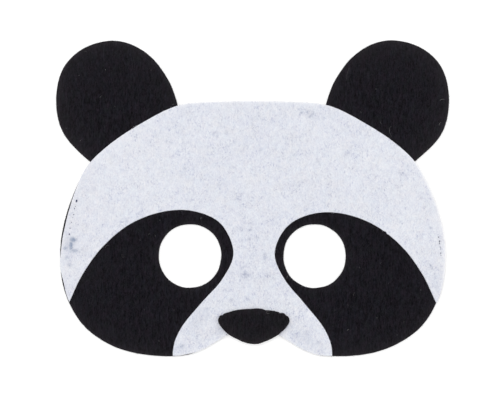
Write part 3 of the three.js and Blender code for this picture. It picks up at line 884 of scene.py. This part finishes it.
def cream(x, y, front):
    """How far the white felt is yellowed: towards its sides."""
    return 0.042 * smooth(-58, -84, x) + 0.030 * smooth(72, 90, x) * smooth(-40, -28, y) + 0.018 * np.exp(-(((x + 54) / 14) ** 2 + ((y - 26) / 14) ** 2))


def painted_edge_glow(x, y, front):
    """Painted light: how much paler the white felt is painted along its cut edge, as if the glowing floor shone through
    it: strongest along its cut edge over the floor, and less beside the ears.
    """
    q = np.column_stack([x, y])
    share = 0.30 + (0.28 + 0.34 * smooth(60, 80, x)) * smooth(-46, -30, y) - 0.48 * smooth(-66, -80, x)
    over_floor = share * np.exp(-away(q, white_over_floor) / 0.45)
    return np.clip(np.maximum(1.15 * over_floor, 0.12 * np.exp(-away(q, white_by_ears) / 2.0)), 0, 1)


# ------------------------------------------------------------------ pieces
BLACK, NOSE_BLACK, WHITE = black_felt("black_felt", 1.06), black_felt("nose_black_felt", 0.92, 0.925), white_felt()
BLACK_FIBRE = fibre("black_fibre", (0.0035, 0.0030, 0.0042), (0.024, 0.021, 0.027))
WHITE_FIBRE = fibre("white_fibre", (0.56, 0.585, 0.68), (0.88, 0.895, 0.92))
PALE_FIBRE = fibre("pale_fibre", (0.86, 0.87, 0.90), (0.95, 0.95, 0.95))
LINT_FIBRE = fibre("pale_lint", (0.05, 0.05, 0.05), (0.40, 0.40, 0.39))
THREAD = fibre("dark_thread", (0.006, 0.006, 0.009), (0.075, 0.082, 0.150))

hidden_by_face = face_loops[0]
outline = backing_loops[0]
on_ear = (np.abs(outline[:, 0]) > 34.0) & (outline[:, 1] > 16.0)
inner_side = on_ear & (np.abs(outline[:, 0]) < 50.0)
ear_edge, ear_inner_edge, jaw_edge, eye_edge = outline[on_ear & ~inner_side], outline[inner_side], outline[~on_ear], np.vstack(backing_loops[1:])
white_edge = face_loops[0][away(face_loops[0], open_edge) > 0.6]
past = inside(white_edge - inward(face_loops[0])[away(face_loops[0], open_edge) > 0.6] * 2.0, outline)
white_over_floor, white_by_ears = white_edge[~past], white_edge[past]
nose_line_low = inside(nose_loops[0] - inward(nose_loops[0]) * 0.8, face_loops[0])
nose_on_white, nose_over_floor = nose_loops[0][nose_line_low], nose_loops[0][~nose_line_low]


def shows_black(q):
    """Where the backing isn't under the white sheet."""
    covered = inside(q, hidden_by_face)
    near = np.zeros(len(q), bool)
    if covered.any():
        near[covered] = away(q[covered], hidden_by_face) < 1.2
    return ~covered | near


def clear_of_white(q):
    return ~inside(q, hidden_by_face) & (away(q, hidden_by_face) > 0.45)


def finish_piece(ob, material, node=None):
    ob.data.materials.append(material)
    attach(ob, "root")
    if node:
        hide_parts(node)
    return ob


# The backing is painted paler along its cut edges and beside the white sheet: partly wear, partly painted glare.
backing = finish_piece(felt_sheet("backing_felt", backing_loops, backing_top, backing_bottom, 0.56, shows_black, 2.2, 1.15, 100,
                                  {"wear_and_glare": wear_and_glare([(ear_edge, (0.062, 0.078, 0.024), 0.5), (ear_inner_edge, (0.050, 0.052, 0.014), 0.5), (jaw_edge, (0.062, 0.060, 0.012), 0.5), (eye_edge, (0.062, 0.038, 0.0), 0.5),
                                                 (face_loops[0], (0.036, 0.028, 0.0), 0.0)], lambda x, y: 0.004 * smooth(0, 30, y) + 0.022 * np.exp(-(((x + 77) / 9) ** 2 + ((y + 32) / 10) ** 2)) - 0.016 * np.exp(-(((x + 42) / 6) ** 2 + ((y + 16) / 6) ** 2)) + 0.010 * np.exp(-(((x + 27) / 6) ** 2 + ((y + 43) / 4) ** 2)))}), BLACK, "backing_with_ears")
face = finish_piece(felt_sheet("face_felt", face_loops, face_top, face_bottom, 0.48, None, None, 2.2, 200,
                               {"stain": stain, "blue": blue, "speckled": speckled, "paling": paling, "painted_edge_glow": painted_edge_glow, "cream": cream}), WHITE, "face_panel")
# Painted glare: the nose is painted paler where its edge hangs over the floor than where it lies on the white.
nose = finish_piece(felt_sheet("nose_felt", nose_loops, nose_top, nose_bottom, 0.30, None, None, 0.8, 300, {"wear_and_glare": wear_and_glare([(nose_on_white, (0.046, 0.032, 0.0), 1.0), (nose_over_floor, (0.062, 0.075, 0.0), 1.0)], lambda x, y: 0 * y)}),
                    NOSE_BLACK, "nose")

backing_nap = finish_piece(nap("backing_nap", backing_loops, backing_top, 7200, 1, 90, 13, 0.10, (1.2, 4.2), (0.03, 0.10), (0.016, 0.030), clear_of_white),
                           BLACK_FIBRE)
face_nap = finish_piece(nap("face_nap", face_loops, face_top, 7200, 2, 90, 26, 0.55, (1.0, 3.4), (0.03, 0.10), (0.014, 0.026)),
                        WHITE_FIBRE)
face_fibres = finish_piece(nap("face_long_fibres", face_loops, face_top, 260, 7, 90, 40, 0.7, (5.0, 11.0), (0.05, 0.12), (0.026, 0.040), steps=9),
                           PALE_FIBRE)
nose_nap = finish_piece(nap("nose_nap", nose_loops, nose_top, 300, 3, 90, 20, 0.2, (0.9, 2.6), (0.02, 0.07), (0.013, 0.022)),
                        BLACK_FIBRE)
backing_fuzz = finish_piece(fuzz("backing_edge_fuzz", backing_loops, backing_top, backing_bottom, 3.2, 4, (0.25, 0.85), (0.010, 0.017)),
                            BLACK_FIBRE)
face_fuzz = finish_piece(fuzz("face_edge_fuzz", face_loops, face_top, face_bottom, 2.6, 5, (0.2, 0.65), (0.009, 0.015)),
                         WHITE_FIBRE)
nose_fuzz = finish_piece(fuzz("nose_edge_fuzz", nose_loops, nose_top, nose_bottom, 3.4, 6, (0.2, 0.7), (0.010, 0.016)),
                         BLACK_FIBRE)


def lint():
    """Pale fibres that lie on the black felt, and a curl on the nose."""
    t = np.linspace(0, 1, 13)
    paths, radii, shade = [], [], []
    for k, (_, x, y, long, deg, bend, wide, light) in enumerate(LINT):
        a = math.radians(deg)
        u, v = (t - 0.5) * long, bend * (np.sin(np.pi * t) - 0.6) + 0.12 * bend * np.sin(5 * np.pi * t + k)
        px, py = x + u * math.cos(a) - v * math.sin(a), y + u * math.sin(a) + v * math.cos(a)
        paths.append(np.stack([px, py, backing_top(px, py) + 0.06 + wide * 0.4], axis=1))
        radii.append(wide / 2 * (0.6 + 0.4 * np.sin(np.pi * t)))
        shade.append(light)
    a = np.linspace(0.4, 5.6, 13)
    px, py = 7.35 + 0.72 * np.cos(a), -53.35 + 0.66 * np.sin(a)
    paths.append(np.stack([px, py, nose_top(px, py) + 0.09], axis=1))
    radii.append(np.full(13, 0.045))
    shade.append(0.30)
    return tubes("lint", np.array(paths), np.array(radii), 6, {"shade": np.array(shade)})


def stitches():
    """Loops of thread at the needle holes on the front, where white fibres lie over it, and its run along the back."""
    t = np.linspace(0, 1, 9)
    paths, radii, shade = [], [], []
    r = np.random.default_rng(9)
    for side in ("left", "right"):
        rows = [s for s in STITCHES if s[0] == side]
        for k, (_, x, y, wide) in enumerate(rows):
            p, q = rows[max(0, k - 1)], rows[min(len(rows) - 1, k + 1)]
            d = np.array([q[1] - p[1], q[2] - p[2]])
            d /= np.linalg.norm(d)
            half = wide * 0.5
            px, py = x + d[0] * (t - 0.5) * 2 * half, y + d[1] * (t - 0.5) * 2 * half
            z = face_top(np.full(9, x), np.full(9, y)) - 0.22 + 0.30 * np.sin(np.pi * t)
            paths.append(np.stack([px, py, z], axis=1))
            radii.append(np.full(9, wide * 0.30) * (0.75 + 0.25 * np.sin(np.pi * t)))
            shade.append(0.75 + 0.25 * r.random())
        for a, b in zip(rows, rows[1:]):
            px, py = a[1] + (b[1] - a[1]) * (0.12 + 0.76 * t), a[2] + (b[2] - a[2]) * (0.12 + 0.76 * t)
            z = lie(px, py) + 0.24 + 0.22 * (1 - np.sin(np.pi * t))
            paths.append(np.stack([px, py, z], axis=1))
            radii.append(np.full(9, 0.17))
            shade.append(0.1 * r.random())
    return tubes("stitches", np.array(paths), np.array(radii), 8, {"shade": np.array(shade)})


def speck():
    """A scrap of black fluff caught at the notch, beside the nose."""
    t = np.linspace(0, 1, 9)
    px, py = -12.25 + 0.42 * (t - 0.5), -64.05 + 0.16 * np.sin(np.pi * t)
    path = np.stack([px, py, np.full(9, 3.52) + lie(px, py)], axis=1)
    return tubes("fluff", path[None], np.full((1, 9), 0.10) * (0.5 + 0.5 * np.sin(np.pi * t)), 6, {"shade": np.array([0.3])})


lint_piece = finish_piece(lint(), LINT_FIBRE)
stitch_piece = finish_piece(stitches(), THREAD)
speck_piece = finish_piece(speck(), BLACK_FIBRE)

# ------------------------------------------------------------------ floor, light and camera
def studio_floor(flat, rise, around=72):
    """A round floor, metres, that turns up into a low wall at its rim, as a studio sweep does."""
    turn = np.linspace(0, math.pi / 2, 13)[1:]
    section = [(r, 0.0) for r in np.linspace(0.3, flat, 10)] + [(flat + rise * math.sin(a), rise * (1 - math.cos(a))) for a in turn]
    angle = np.arange(around) * 2 * math.pi / around
    verts = [(0, 0, 0)] + [(r * math.cos(a), r * math.sin(a), z) for r, z in section for a in angle]
    at = lambda ring, k: 1 + ring * around + k % around
    faces = [(0, at(0, k), at(0, k + 1)) for k in range(around)]
    faces += [(at(i, k), at(i + 1, k), at(i + 1, k + 1), at(i, k + 1)) for i in range(len(section) - 1) for k in range(around)]
    mesh = bpy.data.meshes.new("floor")
    mesh.from_pydata(verts, [], faces)
    mesh.polygons.foreach_set("use_smooth", [True] * len(mesh.polygons))
    piece = bpy.data.objects.new("floor", mesh)
    bpy.context.collection.objects.link(piece)
    piece.location = (0, 0, -0.00004)
    return piece


floor = studio_floor(2.6, 0.9)
floor.data.materials.append(floor_look())

world = bpy.data.worlds.new("studio")
bpy.context.scene.world = world
world.use_nodes = True
world.node_tree.nodes["Background"].inputs["Color"].default_value = (1, 1, 1, 1)
world.node_tree.nodes["Background"].inputs["Strength"].default_value = 0.448


def softbox(name, place, size, power):
    lamp = bpy.data.lights.new(name, "AREA")
    lamp.shape, lamp.size, lamp.energy = "DISK", size, power
    ob = bpy.data.objects.new(name, lamp)
    ob.location = place
    ob.rotation_euler = (-Vector(place)).to_track_quat("-Z", "Y").to_euler()
    bpy.context.scene.collection.objects.link(ob)


softbox("overhead", (-0.15, 0.25, 2.0), 0.9, 19.0)
softbox("side_left", (-1.5, 0.6, 1.4), 0.9, 6.63)
softbox("side_right", (1.5, 0.2, 1.4), 0.9, 6.04)

camera = bpy.data.objects.new("camera", bpy.data.cameras.new("camera"))
bpy.context.scene.collection.objects.link(camera)
camera.data.sensor_width = 36.0
camera.data.lens = 36.0 * (EYE_HEIGHT - FACE_HIGH) / (PICTURE[0] * PIXEL)
camera.location = ((AIM[0] + ORIGIN[0]) * MM, (AIM[1] + ORIGIN[1]) * MM, EYE_HEIGHT * MM)
camera.data.clip_start, camera.data.clip_end = 0.05, 20.0
bpy.context.scene.camera = camera
bpy.context.scene.view_settings.view_transform = "Standard"
